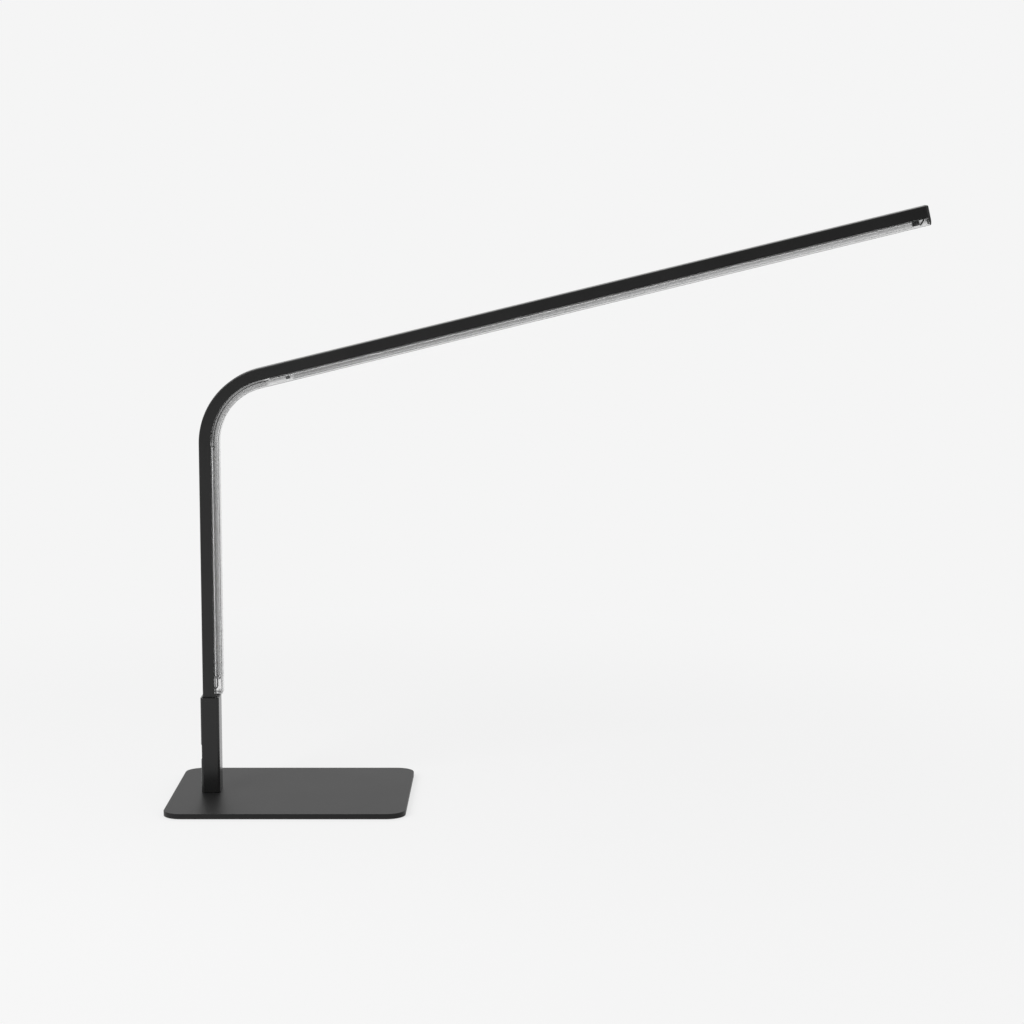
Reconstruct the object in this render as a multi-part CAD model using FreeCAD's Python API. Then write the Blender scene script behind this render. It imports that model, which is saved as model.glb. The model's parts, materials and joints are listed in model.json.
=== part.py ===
import FreeCAD, Part
import math
import os

# A desk lamp on a flat plate. A post turns on the plate, and an arm bent from one length
# of extrusion rises out of the post and reaches forward on a shallow slope. A clear cover
# snapped into the arm's inner side shields two rows of lights.
# Lengths are in millimetres. The origin is the centre of the underside, +X is the way the
# arm reaches and +Z is up.

# Base plate and its pad
base_width = 229.0
base_depth = 196.0
base_corner_radius = 18.0
plate_thickness = 5.0
plate_edge_bevel = 0.5
plate_foot_bevel = 0.4
pad_thickness = 0.6
pad_inset = 3.0

# Swivel between the plate and the post
post_to_plate_end = 36.5
swivel_shaft_radius = 4.0
swivel_running_gap = 0.05
bush_wall = 1.95
bush_flange_radius = 7.6
bush_flange_thickness = 0.5
thrust_washer_radius = 9.5
thrust_washer_thickness = 0.5
spring_washer_radius = 8.8
spring_washer_height = 0.7
spring_washer_stock = 0.4
washer_bore_gap = 0.3
screw_head_radius = 6.5
screw_head_height = 1.4
screw_head_clearance = 0.3
screw_socket_across = 4.0
screw_socket_depth = 0.9
screw_thread_radius = 3.0
screw_thread_length = 10.0
thread_gap = 0.05
counterbore_gap = 1.2

# Arm: the extrusion, its path and the clear cover
arm_thickness = 11.3
arm_depth = 19.0
arm_back_round = 1.2
arm_wall = 1.7
arm_side_wall = 2.4
arm_deck = 2.0
arm_corner_height = 403.8
arm_slope_deg = 13.7
arm_slope_length = 713.4
bend_radius = 74.0
cover_height = 7.7
cover_wall = 1.5
cover_face_wall = 1.2
cover_corner_round = 1.2
cover_foot_height = 1.0
cover_tongue_width = 0.95
cover_tongue_depth = 1.55
cover_tongue_inset = 1.25
groove_gap = 0.08
cover_bevel_out = 4.5
cover_bevel_up = 6.6

# Post sleeve, its liner and the foot plug inside it
sleeve_wall = 1.4
sleeve_corner_radius = 3.0
sleeve_height = 93.2
sleeve_rim_bevel = 0.5
liner_rear_wall = 0.75
liner_front_wall = 3.05
liner_side_wall = 1.65
liner_gap = 0.05
liner_sunk = 1.5
liner_ledge = 1.4
foot_plug_height = 14.0
cover_above_sleeve = 1.6

# Power inlet in the rear of the post and the board behind it
inlet_height = 45.7
inlet_seat_height = 14.6
inlet_seat_depth = 0.8
jack_width = 9.0
jack_height = 11.0
jack_nose_radius = 4.0
jack_nose_gap = 0.05
jack_bore_radius = 2.85
jack_back_wall = 1.5
jack_pin_radius = 1.0
jack_pin_bevel = 0.4
jack_pin_sunk = 1.0
terminal_width = 2.2
terminal_thickness = 0.4
terminal_length = 3.0
terminal_spacing = 4.4
driver_board_width = 17.0
driver_board_thickness = 1.2
driver_part_height = 2.3
board_slot_depth = 2.0
board_slot_gap = 0.1
board_above_jack = 5.0
arm_above_board = 3.5
lead_deck_gap = 0.2
inductor_radius = 3.4
chip_length = 5.0
chip_width = 4.0
chip_height = 1.2
capacitor_length = 2.4
capacitor_width = 1.4
capacitor_height = 1.3
capacitor_spacing = 2.8

# Set screws through the rear wall
set_screw_radius = 2.0
set_screw_gap = 0.05
set_screw_sunk = 0.3
set_screw_socket_across = 2.0
set_screw_socket_depth = 1.2
foot_screw_bite = 1.5

# Light boards, chips, connectors, leads and the diffusers over them
light_board_gap = 0.05
light_board_thickness = 1.0
lower_board_rise = 19.0
lower_board_to_bend = 3.0
upper_board_from_bend = 8.4
upper_board_to_tip = 18.2
chip_pitch = 16.6
light_chip_length = 2.8
light_chip_width = 3.5
light_chip_height = 0.8
board_end_margin = 6.0
connector_width = 8.0
lower_connector_height = 3.4
lower_connector_length = 2.6
upper_connector_height = 3.2
upper_connector_length = 3.6
ribbon_over_lower_board = 4.0
ribbon_over_upper_board = 16.0
connector_round = 0.5
lead_width = 3.2
lead_thickness = 1.1
ribbon_width = 5.0
ribbon_thickness = 0.6
lead_bend_radius = 2.4
lead_window_rise = 1.6
lead_window_length = 6.2
lead_window_width = 5.0
end_plug_length = 13.8
end_plug_rise = 2.5
end_plug_gap = 0.1
end_plug_thickness = 2.5
diffuser_thickness = 0.4
diffuser_gap = 0.05
diffuser_end_gap = 0.4
lower_diffuser_past_bend = 5.4
upper_diffuser_from_bend = 31.2

# Tip: cap, touch sensor and pilot light
cap_thickness = 2.4
cap_bevel = 0.9
cap_back_round = 1.2
cap_slant = 0.3
cap_chin_length = 1.0
cap_chin_rise = 2.6
cap_chin_round = 1.1
cap_crown_round = 3.0
cap_spigot_length = 8.0
cap_spigot_gap = 0.1
sensor_board_width = 12.0
sensor_board_thickness = 1.0
sensor_board_gap = 0.4
sensor_board_to_cap = 0.4
sensor_connector_height = 4.6
sensor_connector_length = 6.7
contact_width = 3.2
contact_stock = 1.3
contact_gap = 0.4
contact_length = 5.7
contact_clearance = 0.3
pilot_radius = 0.9
pilot_height = 2.6
pilot_bevel = 0.4
pilot_from_cap = 1.4

# Overrun of the cutting shapes, and how near a height an edge has to lie
cut_over = 1.0
height_tolerance = 0.005

# Shares of the sizes that they follow
arm_screw_shares = (0.22, 0.72)
foot_screw_share = 0.5
inductor_place_shares = (-0.2, 0.30)
chip_place_shares = (0.28, 0.62)
capacitor_place_shares = (-0.28, 0.80)

# Heights up the swivel
pad_top = pad_thickness
plate_top = pad_top + plate_thickness
swivel_stack = thrust_washer_thickness + spring_washer_height + screw_head_height + screw_head_clearance
web_bottom = pad_top + swivel_stack
spring_top = web_bottom - thrust_washer_thickness
head_top = spring_top - spring_washer_height
sleeve_bottom = plate_top + bush_flange_thickness
sleeve_top = sleeve_bottom + sleeve_height
plug_top = sleeve_bottom + foot_plug_height
post_x = post_to_plate_end - base_width / 2

# Sleeve and liner around the arm's foot, which sits behind the post's own axis
bore_x = arm_thickness + liner_rear_wall + liner_front_wall + 4 * liner_gap
bore_y = arm_depth + 2 * liner_side_wall + 4 * liner_gap
sleeve_x = bore_x + 2 * sleeve_wall
sleeve_y = bore_y + 2 * sleeve_wall
bore_radius = sleeve_corner_radius - sleeve_wall
rear_x = post_x - sleeve_x / 2
bore_rear_x = post_x - bore_x / 2

# The arm's own directions: out from its back face, across its depth and along its run
back_x = bore_rear_x + liner_rear_wall + 2 * liner_gap
arm_x = back_x + arm_thickness / 2
deck_out = arm_thickness
cover_out = arm_thickness + cover_height
turn_deg = 90 - arm_slope_deg
bend_tangent = bend_radius * math.tan(math.radians(turn_deg) / 2)
bend_z = arm_corner_height - bend_tangent
bend_centre = FreeCAD.Vector(back_x + bend_radius, 0, bend_z)
slope_run = arm_slope_length - bend_tangent
body_run = slope_run - cap_thickness
bend_axis = FreeCAD.Vector(0, 1, 0)
up = FreeCAD.Vector(0, 0, 1)
board_seat = deck_out + cover_foot_height + light_board_gap
board_out = board_seat + light_board_thickness
light_board_width = arm_depth - 2 * cover_wall - 2 * light_board_gap

# Inlet and driver board inside the post
seat_x = rear_x + inlet_seat_depth
driver_back_x = back_x + deck_out - arm_deck - lead_deck_gap
driver_front_x = driver_back_x + driver_board_thickness
driver_bottom = plug_top - board_slot_depth
driver_top = inlet_height + jack_height / 2 + board_above_jack
arm_foot = driver_top + arm_above_board
cover_bottom = sleeve_top + cover_above_sleeve
lower_board_start = cover_bottom + lower_board_rise
lower_board_end = bend_z - lower_board_to_bend


def vec(x, y, z):
    return FreeCAD.Vector(x, y, z)


def block(low, high):
    """Box between two opposite corners."""
    size = high - low
    return Part.makeBox(size.x, size.y, size.z, low)


def disc(radius, bottom, top):
    """Round bar on the post's own axis."""
    return Part.makeCylinder(radius, top - bottom, vec(post_x, 0, bottom))


def bar_inward(radius, start, end, height):
    """Round bar along +X at a height, centred across the post."""
    return Part.makeCylinder(radius, end - start, vec(start, 0, height), vec(1, 0, 0))


def rounded_edges(corners, closed):
    """Lines through the corners, with a tangent arc at each corner that has a radius."""
    count = len(corners)
    stretches = []
    arcs = []
    for index, (corner, radius) in enumerate(corners):
        open_end = not closed and index in (0, count - 1)
        if radius == 0 or open_end:
            stretches.append((corner, corner))
            arcs.append(None)
            continue
        back = (corners[index - 1][0] - corner).normalize()
        ahead = (corners[(index + 1) % count][0] - corner).normalize()
        half = back.getAngle(ahead) / 2
        reach = radius / math.tan(half)
        middle = corner + (back + ahead).normalize() * (radius / math.sin(half) - radius)
        first = corner + back * reach
        last = corner + ahead * reach
        stretches.append((first, last))
        arcs.append(Part.Arc(first, middle, last).toShape())
    edges = []
    for index in range(count):
        if arcs[index]:
            edges.append(arcs[index])
        if index == count - 1 and not closed:
            break
        start = stretches[index][1]
        end = stretches[(index + 1) % count][0]
        edges.append(Part.LineSegment(start, end).toShape())
    return edges


def flat_face(corners):
    return Part.Face(Part.Wire(rounded_edges(corners, True)))


def rounded_plate(size_x, size_y, radius, bottom, top, x=0):
    """Upright prism with a rounded rectangle for its plan."""
    half_x = size_x / 2
    half_y = size_y / 2
    plan = ((-half_x, -half_y), (half_x, -half_y), (half_x, half_y), (-half_x, half_y))
    corners = [(vec(x + px, py, bottom), radius) for px, py in plan]
    return flat_face(corners).extrude(vec(0, 0, top - bottom))


def edges_at(shape, height):
    """Edges that lie wholly at one height."""
    return [edge for edge in shape.Edges
            if abs(edge.BoundBox.ZMin - height) < height_tolerance
            and abs(edge.BoundBox.ZMax - height) < height_tolerance]


def hex_prism(across, bottom, top, centre):
    """Six-sided bar along Z, for the socket of a screw."""
    reach = across / math.sqrt(3)
    turns = [math.radians(60 * step) for step in range(6)]
    points = [vec(centre.x + reach * math.cos(turn), centre.y + reach * math.sin(turn), bottom)
              for turn in turns]
    points.append(points[0])
    return Part.Face(Part.makePolygon(points)).extrude(vec(0, 0, top - bottom))


def mirrored_section(half, bottom):
    """Section of the arm from its half on the +Y side: (out, across, round) from centre to centre."""
    near = [(vec(back_x + out, across, bottom), radius) for out, across, radius in half]
    far = [(vec(back_x + out, -across, bottom), radius) for out, across, radius in reversed(half)]
    return flat_face(near + far)


def bent_run(section, start, run):
    """Sweep a section that lies at height start: up the post, round the bend, then run up the slope."""
    lower = section.extrude(up * (bend_z - start))
    at_bend = section.translated(up * (bend_z - start))
    bend = at_bend.revolve(bend_centre, bend_axis, turn_deg)
    upper = to_slope(at_bend.extrude(up * run))
    return lower.fuse([bend, upper]).removeSplitter()


def to_slope(shape):
    """Carry a shape that was built above the bend, as if the arm ran straight up, onto the slope."""
    turned = shape.copy()
    turned.rotate(bend_centre, bend_axis, turn_deg)
    return turned


def run_block(out_low, out_high, width, start, end):
    """Box on the arm, from one distance out to another, centred across it, between two heights."""
    low = vec(back_x + out_low, -width / 2, start)
    high = vec(back_x + out_high, width / 2, end)
    return block(low, high)


def soft_block(out_low, out_high, width, start, end, radius):
    """The same box with the corners of its outer face rounded."""
    body = run_block(out_low, out_high, width, start, end)
    outer_x = back_x + out_high
    rim = [edge for edge in body.Edges if edge.BoundBox.XMin > outer_x - height_tolerance]
    return body.makeFillet(radius, rim)


def flat_lead(points, width, thickness):
    """Flat lead centred across the arm along points (out, height), with an arc at each inner point."""
    corners = [(vec(back_x + out, 0, height), lead_bend_radius) for out, height in points]
    stretches = []
    for edge in rounded_edges(corners, False):
        start = edge.valueAt(edge.FirstParameter)
        direction = edge.tangentAt(edge.FirstParameter)
        side = vec(0, width / 2, 0)
        face = direction.cross(bend_axis) * (thickness / 2)
        plan = [start - side - face, start + side - face, start + side + face, start - side + face]
        section = Part.Face(Part.makePolygon(plan + plan[:1]))
        if isinstance(edge.Curve, Part.Circle):
            turn = math.degrees(edge.Length / lead_bend_radius)
            stretches.append(section.revolve(edge.Curve.Center, edge.Curve.Axis, turn))
        else:
            stretches.append(section.extrude(direction * edge.Length))
    return stretches[0].fuse(stretches[1:]).removeSplitter()


def base_plate():
    body = rounded_plate(base_width, base_depth, base_corner_radius, pad_top, plate_top)
    body = body.makeChamfer(plate_edge_bevel, edges_at(body, plate_top))
    body = body.makeChamfer(plate_foot_bevel, edges_at(body, pad_top))
    pocket = disc(thrust_washer_radius + counterbore_gap, pad_top - cut_over, web_bottom)
    hole = disc(bush_outer_radius() + swivel_running_gap, pad_top, plate_top + cut_over)
    return body.cut(pocket).cut(hole)


def bush_outer_radius():
    return swivel_shaft_radius + swivel_running_gap + bush_wall


def base_pad():
    inset_radius = base_corner_radius - pad_inset
    return rounded_plate(base_width - 2 * pad_inset, base_depth - 2 * pad_inset, inset_radius, 0, pad_top)


def swivel_bush():
    barrel = disc(bush_outer_radius(), web_bottom, plate_top)
    flange = disc(bush_flange_radius, plate_top, sleeve_bottom)
    bore = disc(swivel_shaft_radius + swivel_running_gap, web_bottom - cut_over, sleeve_bottom + cut_over)
    return barrel.fuse(flange).removeSplitter().cut(bore)


def thrust_washer():
    ring = disc(thrust_washer_radius, spring_top, web_bottom)
    return ring.cut(disc(swivel_shaft_radius + washer_bore_gap, spring_top - cut_over, web_bottom + cut_over))


def spring_washer():
    """Disc spring: a shallow cone whose outer edge bears up and inner edge bears down."""
    inner = post_x + swivel_shaft_radius + washer_bore_gap
    outer = post_x + spring_washer_radius
    profile = [vec(inner, 0, head_top), vec(outer, 0, spring_top - spring_washer_stock),
               vec(outer, 0, spring_top), vec(inner, 0, head_top + spring_washer_stock),
               vec(inner, 0, head_top)]
    return Part.Face(Part.makePolygon(profile)).revolve(vec(post_x, 0, 0), up, 360)


def pivot_screw():
    """Shoulder screw put in from below: head, smooth shoulder through the bush, thread in the plug."""
    head_bottom = head_top - screw_head_height
    head = disc(screw_head_radius, head_bottom, head_top)
    shoulder = disc(swivel_shaft_radius, head_top, sleeve_bottom)
    thread = disc(screw_thread_radius, sleeve_bottom, sleeve_bottom + screw_thread_length)
    socket = hex_prism(screw_socket_across, head_bottom - cut_over, head_bottom + screw_socket_depth,
                       vec(post_x, 0, 0))
    return head.fuse([shoulder, thread]).cut(socket)


def foot_plug():
    """Block that closes the sleeve's foot: threaded from below, slotted above for the board."""
    gap = 2 * liner_gap
    body = rounded_plate(bore_x - gap, bore_y - gap, bore_radius - liner_gap, sleeve_bottom, plug_top, post_x)
    thread = disc(screw_thread_radius + thread_gap, sleeve_bottom - cut_over,
                  sleeve_bottom + screw_thread_length + thread_gap)
    half = driver_board_width / 2 + board_slot_gap
    slot = block(vec(driver_back_x - board_slot_gap, -half, driver_bottom),
                 vec(driver_front_x + board_slot_gap, half, plug_top + cut_over))
    return body.cut(thread).cut(slot).cut(set_screw_bar(foot_screw_height(), foot_screw_bite, set_screw_gap))


def foot_screw_height():
    return sleeve_bottom + foot_plug_height * foot_screw_share


def arm_screw_heights():
    held = sleeve_top - liner_sunk - arm_foot
    return [arm_foot + held * share for share in arm_screw_shares]


def set_screw_bar(height, bite, gap):
    """Round bar from outside the rear wall, in through it and bite past the bore's wall."""
    return bar_inward(set_screw_radius + gap, rear_x - cut_over, bore_rear_x + liner_gap + bite, height)


def set_screw(height, bite):
    start = rear_x + set_screw_sunk
    body = bar_inward(set_screw_radius, start, bore_rear_x + liner_gap + bite, height)
    socket = hex_prism(set_screw_socket_across, -cut_over, set_screw_socket_depth, vec(0, 0, 0))
    socket.rotate(vec(0, 0, 0), vec(0, 1, 0), 90)
    socket.translate(vec(start, 0, height))
    return body.cut(socket)


def set_screws():
    arm_bite = liner_rear_wall + liner_gap
    screws = [set_screw(height, arm_bite) for height in arm_screw_heights()]
    screws.append(set_screw(foot_screw_height(), foot_screw_bite))
    return Part.makeCompound(screws)


def post_sleeve():
    """Upright tube around the arm's foot, with a shallow seat across its rear for the inlet."""
    body = rounded_plate(sleeve_x, sleeve_y, sleeve_corner_radius, sleeve_bottom, sleeve_top, post_x)
    body = body.makeChamfer(sleeve_rim_bevel, edges_at(body, sleeve_top))
    bore = rounded_plate(bore_x, bore_y, bore_radius, sleeve_bottom - cut_over, sleeve_top + cut_over, post_x)
    body = body.cut(bore)
    seat = block(vec(rear_x - cut_over, -sleeve_y / 2 - cut_over, inlet_height - inlet_seat_height / 2),
                 vec(seat_x, sleeve_y / 2 + cut_over, inlet_height + inlet_seat_height / 2))
    nose_radius = jack_nose_radius + jack_nose_gap
    nose = bar_inward(nose_radius, rear_x - cut_over, bore_rear_x + cut_over, inlet_height)
    body = body.cut(seat).cut(nose)
    for height in arm_screw_heights() + [foot_screw_height()]:
        body = body.cut(set_screw_bar(height, 0, set_screw_gap))
    return body


def sleeve_liner():
    """Plastic lining that centres the arm in the sleeve, with a ledge under the arm's foot."""
    bottom = arm_foot - liner_ledge
    top = sleeve_top - liner_sunk
    gap = 2 * liner_gap
    body = rounded_plate(bore_x - gap, bore_y - gap, bore_radius - liner_gap, bottom, top, post_x)
    hollow = rounded_plate(arm_thickness + gap, arm_depth + gap, 0, arm_foot, top + cut_over, arm_x)
    window = rounded_plate(arm_thickness - 2 * arm_wall, arm_depth - 2 * arm_side_wall, 0,
                           bottom - cut_over, arm_foot + cut_over, arm_x)
    body = body.cut(hollow).cut(window)
    for height in arm_screw_heights():
        body = body.cut(set_screw_bar(height, liner_rear_wall + cut_over, set_screw_gap))
    return body


def dc_jack():
    """Moulded socket: a block behind the wall and a round nose through it, bored for the plug."""
    body = block(vec(bore_rear_x, -jack_width / 2, inlet_height - jack_height / 2),
                 vec(driver_back_x, jack_width / 2, inlet_height + jack_height / 2))
    nose = bar_inward(jack_nose_radius, seat_x, bore_rear_x, inlet_height)
    bore = bar_inward(jack_bore_radius, seat_x - cut_over, driver_back_x - jack_back_wall, inlet_height)
    return body.fuse(nose).cut(bore)


def jack_pin():
    start = seat_x + jack_pin_sunk
    end = driver_back_x - jack_back_wall
    pin = bar_inward(jack_pin_radius, start, end, inlet_height)
    tip = [edge for edge in pin.Edges if edge.BoundBox.XMax < start + jack_pin_radius]
    return pin.makeChamfer(jack_pin_bevel, tip)


def jack_terminals():
    """Solder tabs that leave the foot of the jack and lie against the board."""
    top = inlet_height - jack_height / 2
    tabs = []
    for side in (-1, 1):
        near = side * terminal_spacing / 2 - terminal_width / 2
        low = vec(driver_back_x - terminal_thickness, near, top - terminal_length)
        tabs.append(block(low, vec(driver_back_x, near + terminal_width, top)))
    return Part.makeCompound(tabs)


def driver_board():
    half = driver_board_width / 2
    return block(vec(driver_back_x, -half, driver_bottom), vec(driver_front_x, half, driver_top))


def driver_place(shares):
    """Centre of one component on the board's front, from its shares of the board's width and free height."""
    across, height = shares
    return vec(driver_front_x, driver_board_width * across, plug_top + (driver_top - plug_top) * height)


def driver_inductor():
    middle = driver_place(inductor_place_shares)
    return Part.makeCylinder(inductor_radius, driver_part_height, middle, vec(1, 0, 0))


def board_part(shares, length, width, tall):
    middle = driver_place(shares)
    return block(middle - vec(0, width / 2, length / 2), middle + vec(tall, width / 2, length / 2))


def driver_chip():
    return board_part(chip_place_shares, chip_length, chip_width, chip_height)


def driver_capacitors():
    first = board_part(capacitor_place_shares, capacitor_length, capacitor_width, capacitor_height)
    second = first.translated(vec(0, capacitor_spacing, 0))
    return Part.makeCompound([first, second])


def channel_half():
    """Half of the extrusion's outline: rounded back, flat sides, grooves in its deck for the cover."""
    side = arm_depth / 2
    groove_outer = side - cover_tongue_inset + groove_gap
    groove_inner = side - cover_tongue_inset - cover_tongue_width - groove_gap
    groove_floor = deck_out - cover_tongue_depth - groove_gap
    return [(0, side, arm_back_round), (deck_out, side, 0), (deck_out, groove_outer, 0),
            (groove_floor, groove_outer, 0), (groove_floor, groove_inner, 0), (deck_out, groove_inner, 0)]


def cavity_face(bottom, gap):
    """Face of the wire way inside the extrusion, drawn in by a gap."""
    side = arm_depth / 2 - arm_side_wall - gap
    low = arm_wall + gap
    high = deck_out - arm_deck - gap
    return mirrored_section([(low, side, 0), (high, side, 0)], bottom)


def arm_channel():
    """Bent extrusion: one section up the post, round the bend and along the slope to the cap."""
    outer = mirrored_section(channel_half(), arm_foot)
    section = outer.cut(cavity_face(arm_foot, 0)).Faces[0]
    body = bent_run(section, arm_foot, body_run)
    start = cover_bottom + lead_window_rise
    window = run_block(deck_out - arm_deck - cut_over, deck_out + cut_over, lead_window_width,
                       start, start + lead_window_length)
    return body.cut(window)


def cover_half():
    """Half of the clear cover's outline: a foot and tongue, a leg and the outer wall."""
    side = arm_depth / 2
    tongue_outer = side - cover_tongue_inset
    tongue_inner = tongue_outer - cover_tongue_width
    tongue_tip = deck_out - cover_tongue_depth
    foot_top = deck_out + cover_foot_height
    leg_inner = side - cover_wall
    wall_inner = cover_out - cover_face_wall
    return [(wall_inner, leg_inner, 0), (foot_top, leg_inner, 0), (foot_top, tongue_inner, 0),
            (tongue_tip, tongue_inner, 0), (tongue_tip, tongue_outer, 0), (deck_out, tongue_outer, 0),
            (deck_out, side, 0), (cover_out, side, cover_corner_round)]


def bevel_wedge():
    """Wedge that bevels the outer corner at the cover's lower end."""
    outer = back_x + cover_out
    far = arm_depth
    corners = [vec(outer - cover_bevel_out, -far, cover_bottom),
               vec(outer, -far, cover_bottom + cover_bevel_up),
               vec(outer + cut_over, -far, cover_bottom + cover_bevel_up),
               vec(outer + cut_over, -far, cover_bottom - cut_over),
               vec(outer - cover_bevel_out, -far, cover_bottom - cut_over)]
    return Part.Face(Part.makePolygon(corners + corners[:1])).extrude(vec(0, 2 * far, 0))


def light_cover():
    """Clear U-section cover whose tongues snap into the grooves all along the arm."""
    section = mirrored_section(cover_half(), cover_bottom)
    return bent_run(section, cover_bottom, body_run).cut(bevel_wedge())


def cover_end_plug():
    """Clear plug that fills the outer half of the cover's lower end."""
    high = cover_out - cover_face_wall - end_plug_gap
    width = arm_depth - 2 * cover_wall - 2 * end_plug_gap
    start = cover_bottom + end_plug_rise
    body = run_block(high - end_plug_thickness, high, width, start, start + end_plug_length)
    return body.cut(bevel_wedge())


def lower_light_board():
    return run_block(board_seat, board_out, light_board_width, lower_board_start, lower_board_end)


def upper_board_span():
    """Heights of the upper board's two ends, before it is carried onto the slope."""
    return bend_z + upper_board_from_bend, bend_z + slope_run - upper_board_to_tip


def upper_light_board():
    start, end = upper_board_span()
    return to_slope(run_block(board_seat, board_out, light_board_width, start, end))


def chip_row(start, end):
    """Evenly spaced light chips on a board that runs from start to end."""
    free = end - start - 2 * board_end_margin
    count = int(free / chip_pitch) + 1
    first = (start + end) / 2 - (count - 1) * chip_pitch / 2
    chips = []
    for index in range(count):
        middle = first + index * chip_pitch
        chips.append(run_block(board_out, board_out + light_chip_height, light_chip_width,
                               middle - light_chip_length / 2, middle + light_chip_length / 2))
    return Part.makeCompound(chips)


def lower_light_chips():
    return chip_row(lower_board_start, lower_board_end)


def upper_light_chips():
    return to_slope(chip_row(upper_connector_start() + upper_connector_length, upper_board_span()[1]))


def lower_connector():
    return soft_block(deck_out, deck_out + lower_connector_height, connector_width,
                      lower_board_start - lower_connector_length, lower_board_start, connector_round)


def upper_connector_start():
    return upper_board_span()[0] + ribbon_over_upper_board


def upper_connector():
    """Black plug on the upper board, at the far end of the ribbon."""
    start = upper_connector_start()
    return to_slope(soft_block(board_out, board_out + upper_connector_height, connector_width,
                               start, start + upper_connector_length, connector_round))


def supply_lead():
    """Flat lead from the driver board, up the wire way and out of the window to the lower connector."""
    half = lead_thickness / 2
    inside = driver_back_x - half - back_x
    outside = deck_out + lower_connector_height - lead_thickness
    window_start = cover_bottom + lead_window_rise
    return flat_lead([(inside, driver_top - board_above_jack / 2), (inside, window_start + half),
                      (outside, window_start + lead_window_length - half),
                      (outside, lower_board_start - lower_connector_length)], lead_width, lead_thickness)


def jumper_ribbon():
    """Flat ribbon from the lower board's face, round the bend and over the upper board to its plug."""
    half = ribbon_width / 2
    start = lower_board_end - ribbon_over_lower_board
    section = mirrored_section([(board_out, half, 0), (board_out + ribbon_thickness, half, 0)], start)
    return bent_run(section, start, upper_connector_start() - bend_z)


def diffuser_section(bottom):
    """U-section of the diffuser that lines the cover's legs and outer wall."""
    foot = board_out + diffuser_gap
    outer_side = arm_depth / 2 - cover_wall - diffuser_gap
    inner_side = outer_side - diffuser_thickness
    outer = cover_out - cover_face_wall - diffuser_gap
    inner = outer - diffuser_thickness
    return mirrored_section([(inner, inner_side, 0), (foot, inner_side, 0), (foot, outer_side, 0),
                             (outer, outer_side, 0)], bottom)


def lower_diffuser():
    """Translucent strip inside the cover, from the end plug to just past the bend."""
    start = cover_bottom + end_plug_rise + end_plug_length + diffuser_end_gap
    return bent_run(diffuser_section(start), start, lower_diffuser_past_bend)


def upper_diffuser():
    """The same strip along the slope, from beyond the upper plug to the sensor board."""
    start = bend_z + upper_diffuser_from_bend
    run = sensor_start() - diffuser_end_gap - start
    return to_slope(diffuser_section(start).extrude(up * run))


def tip_cap():
    """Cap on the arm's end: a rounded plate over channel and cover, with a spigot in the wire way."""
    start = bend_z + body_run
    end = start + cap_thickness
    side = arm_depth / 2
    chin_x = back_x + cover_out
    profile = [(vec(back_x, -side, start), 0), (vec(chin_x, -side, start), 0),
               (vec(chin_x, -side, start + cap_chin_length), cap_chin_round),
               (vec(chin_x - cap_chin_rise, -side, end - cap_slant), cap_crown_round),
               (vec(back_x, -side, end), cap_back_round)]
    plate = flat_face(profile).extrude(vec(0, arm_depth, 0))
    rims = [edge for edge in plate.Edges if edge.BoundBox.ZMax > start + height_tolerance
            and edge.BoundBox.YLength < height_tolerance]
    plate = plate.makeChamfer(cap_bevel, rims)
    spigot = cavity_face(start - cap_spigot_length, cap_spigot_gap).extrude(up * cap_spigot_length)
    return to_slope(plate.fuse(spigot))


def sensor_start():
    return upper_board_span()[1] + sensor_board_gap


def cap_inner():
    return bend_z + body_run


def sensor_board():
    return to_slope(run_block(deck_out, deck_out + sensor_board_thickness, sensor_board_width,
                              sensor_start(), cap_inner() - sensor_board_to_cap))


def sensor_connector():
    """Black header on the sensor board, next to the light board's end."""
    low = deck_out + sensor_board_thickness
    return to_slope(soft_block(low, low + sensor_connector_height, connector_width, sensor_start(),
                               sensor_start() + sensor_connector_length, connector_round))


def touch_contact():
    """Leaning spring blade whose tip feels a finger through the cover's outer wall."""
    foot = deck_out + sensor_board_thickness
    tip = cover_out - cover_face_wall - contact_clearance
    start = sensor_start() + sensor_connector_length + contact_gap
    end = start + contact_length
    shape = [(foot, end), (tip, start + contact_stock), (tip, start), (tip - contact_stock / 2, start),
             (foot, end - contact_stock)]
    points = [vec(back_x + out, -contact_width / 2, height) for out, height in shape]
    blade = Part.Face(Part.makePolygon(points + points[:1])).extrude(vec(0, contact_width, 0))
    return to_slope(blade)


def pilot_light():
    """Small round lamp on the sensor board beside the cap."""
    start = vec(back_x + deck_out + sensor_board_thickness, 0, cap_inner() - pilot_from_cap)
    body = Part.makeCylinder(pilot_radius, pilot_height, start, vec(1, 0, 0))
    rim = [edge for edge in body.Edges if edge.BoundBox.XMin > start.x + pilot_height / 2]
    return to_slope(body.makeChamfer(pilot_bevel, rim))


makers = (
    base_plate, base_pad, swivel_bush, thrust_washer, spring_washer, pivot_screw, foot_plug,
    set_screws, post_sleeve, sleeve_liner, dc_jack, jack_pin, jack_terminals, driver_board,
    driver_inductor, driver_chip, driver_capacitors, supply_lead, arm_channel, light_cover,
    cover_end_plug, lower_light_board, upper_light_board, lower_light_chips, upper_light_chips,
    lower_connector, upper_connector, jumper_ribbon, lower_diffuser, upper_diffuser, tip_cap,
    sensor_board, sensor_connector, touch_contact, pilot_light,
)

os.makedirs("parts", exist_ok=True)
for maker in makers:
    shape = maker()
    shape.exportStep("parts/" + maker.__name__ + ".step")
    volume = round(shape.Volume, 1)
    print(maker.__name__, "solids", len(shape.Solids), "valid", shape.isValid(), "volume", volume)
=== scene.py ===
import json
import math

import bmesh
import bpy
from mathutils import Matrix, Vector


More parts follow.
